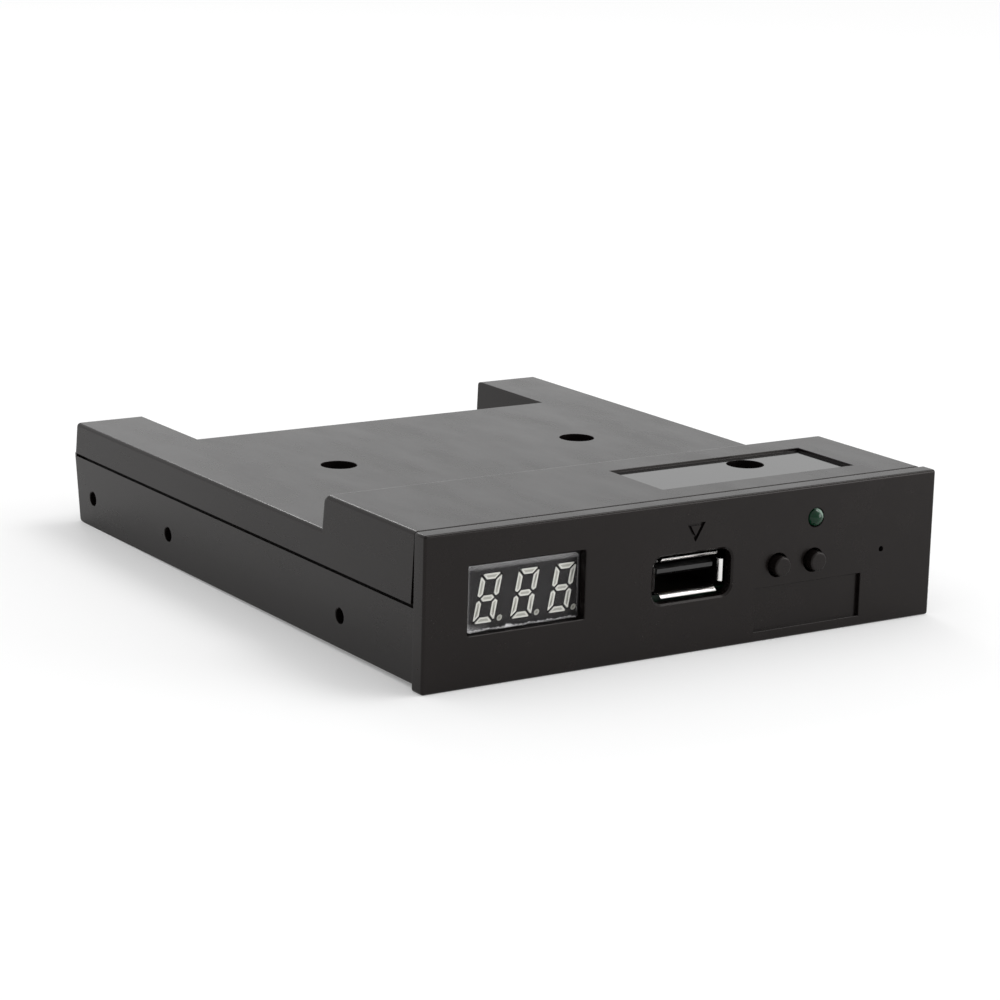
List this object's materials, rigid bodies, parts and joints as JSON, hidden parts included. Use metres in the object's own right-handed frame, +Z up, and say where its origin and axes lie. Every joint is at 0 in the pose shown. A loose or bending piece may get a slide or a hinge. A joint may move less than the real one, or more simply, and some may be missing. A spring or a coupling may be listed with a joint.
{
  "type": "floppy drive emulator",
  "caption": "Slim drive-bay case with a digit display, stick port, status lamp and push buttons on its face and pin headers in a rear notch.",
  "frame": {"origin": "under the middle of the drive's outline, at the lower edge of the face", "axes": "+X to the right across the face, +Y from the face to the rear, +Z up"},
  "size_m": [0.1016, 0.1246, 0.0254],
  "materials": {
    "case_abs": "fine-textured black ABS",
    "screw_steel": "zinc-plated steel",
    "board_laminate": "green solder mask on glass laminate",
    "port_nickel": "nickel-plated folded steel",
    "port_plastic": "moulded black plastic",
    "contact_gold": "gold flash",
    "display_black": "dark printed face on a moulded body",
    "segment_resin": "milky cast resin",
    "clear_film": "clear protective film",
    "pin_tin": "tinned wire",
    "chip_black": "moulded epoxy",
    "button_black": "smooth black plastic",
    "switch_black": "moulded black plastic",
    "switch_steel": "stamped stainless sheet",
    "lamp_green": "tinted clear resin",
    "header_black": "moulded black plastic",
    "cap_blue": "moulded dark blue plastic",
    "power_white": "natural nylon",
    "crystal_steel": "drawn steel can",
    "can_aluminium": "drawn aluminium can",
    "ceramic_tan": "fired ceramic",
    "resistor_black": "glazed film"
  },
  "bodies": {
    "case": {"lower_shell": "case_abs", "top_cover": "case_abs", "cover_screws": "screw_steel", "main_board": "board_laminate", "port_shell": "port_nickel", "port_tongue": "port_plastic", "port_contacts": "contact_gold", "display_housing": "display_black", "display_segments": "segment_resin", "display_film": "clear_film", "display_pins": "pin_tin", "display_driver": "chip_black", "switch_housings": "switch_black", "switch_frames": "switch_steel", "switch_domes": "switch_steel", "switch_terminals": "pin_tin", "lamp_lens": "lamp_green", "lamp_leads": "pin_tin", "data_header": "header_black", "data_pins": "contact_gold", "jumper_header": "header_black", "jumper_pins": "contact_gold", "jumper_caps": "cap_blue", "power_header": "power_white", "power_pins": "pin_tin", "control_chip": "chip_black", "control_chip_leads": "pin_tin", "driver_leads": "pin_tin", "clock_crystal": "crystal_steel", "crystal_leads": "pin_tin", "regulator": "chip_black", "regulator_leads": "pin_tin", "bulk_capacitors": "can_aluminium", "chip_capacitors": "ceramic_tan", "chip_resistors": "resistor_black"},
    "left_button": {"left_button": "button_black"},
    "right_button": {"right_button": "button_black"}
  },
  "joints": [
    {"name": "left_button_press", "type": "slide", "parent": "case", "child": "left_button", "axis": [0, 1, 0], "range_m": [0, 0.00025], "stiffness_N_per_m": 1500, "springref_m": -0.0002},
    {"name": "right_button_press", "type": "slide", "parent": "case", "child": "right_button", "axis": [0, 1, 0], "range_m": [0, 0.00025], "stiffness_N_per_m": 1500, "springref_m": -0.0002}
  ]
}
